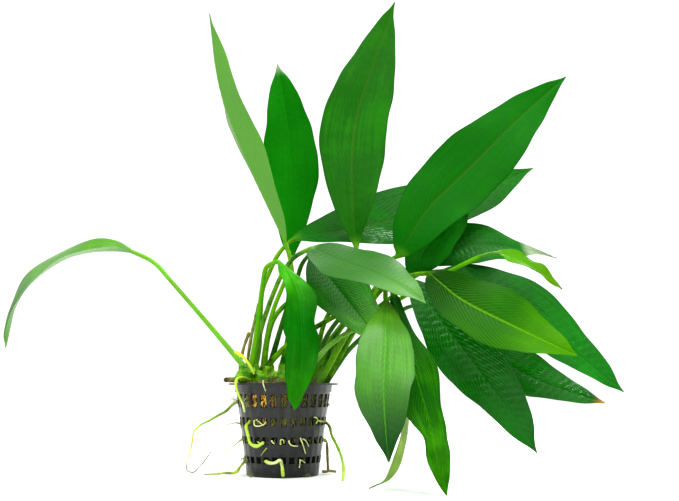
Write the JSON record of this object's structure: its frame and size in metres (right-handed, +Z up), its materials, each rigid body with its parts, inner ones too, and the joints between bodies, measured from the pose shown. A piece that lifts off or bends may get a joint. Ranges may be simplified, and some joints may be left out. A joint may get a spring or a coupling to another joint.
{
  "type": "potted aquarium plant",
  "caption": "Lance-leaved anubias aquarium plant with long stalks, rooted in a small slotted net pot.",
  "frame": {"origin": "centre of the pot's flat underside", "axes": "+Z up, +X to the side the leaves lean to (right in the usual view), +Y to the back"},
  "size_m": [0.3178, 0.1646, 0.2641],
  "materials": {
    "pot_plastic": "satin black-grey injection moulded plastic",
    "planting_wool": "matt wet fibrous planting wool",
    "stem_green": "waxy green creeping stem",
    "leaf_green": "leathery wet gloss green",
    "leaf_lime": "young lime green",
    "root_green": "pale yellow-green root",
    "sheath_yellow": "yellow leaf sheath",
    "dead_plant": "matt brown dead stem"
  },
  "bodies": {
    "root": {"pot": "pot_plastic", "growing_medium": "planting_wool", "stem_front": "stem_green", "stem_back": "stem_green", "leaf_arching_left": "leaf_green", "leaf_tall_left": "leaf_green", "leaf_upright_left": "leaf_green", "leaf_over_pot": "leaf_green", "leaf_centre_upright": "leaf_green", "leaf_right_upright": "leaf_green", "leaf_behind_broad": "leaf_green", "leaf_centre_level": "leaf_green", "leaf_centre_drooping": "leaf_green", "leaf_front_hanging": "leaf_green", "leaf_front_wavy": "leaf_green", "leaf_front_curled": "leaf_green", "leaf_right_low_dark": "leaf_green", "leaf_right_low_back": "leaf_green", "leaf_right_bright": "leaf_green", "leaf_right_outer": "leaf_green", "leaf_back_arching": "leaf_green", "leaf_young_lime": "leaf_lime", "leaf_behind_hidden": "leaf_green", "old_stem_stub": "dead_plant", "old_stalk_tall": "dead_plant", "old_stalk_short": "dead_plant", "young_sheath": "sheath_yellow", "root_over_rim": "root_green", "root_left_loop": "root_green", "root_left_low": "root_green", "root_front_left": "root_green", "root_front_low": "root_green", "root_right_long": "root_green", "root_right_brown": "dead_plant"}
  },
  "joints": []
}
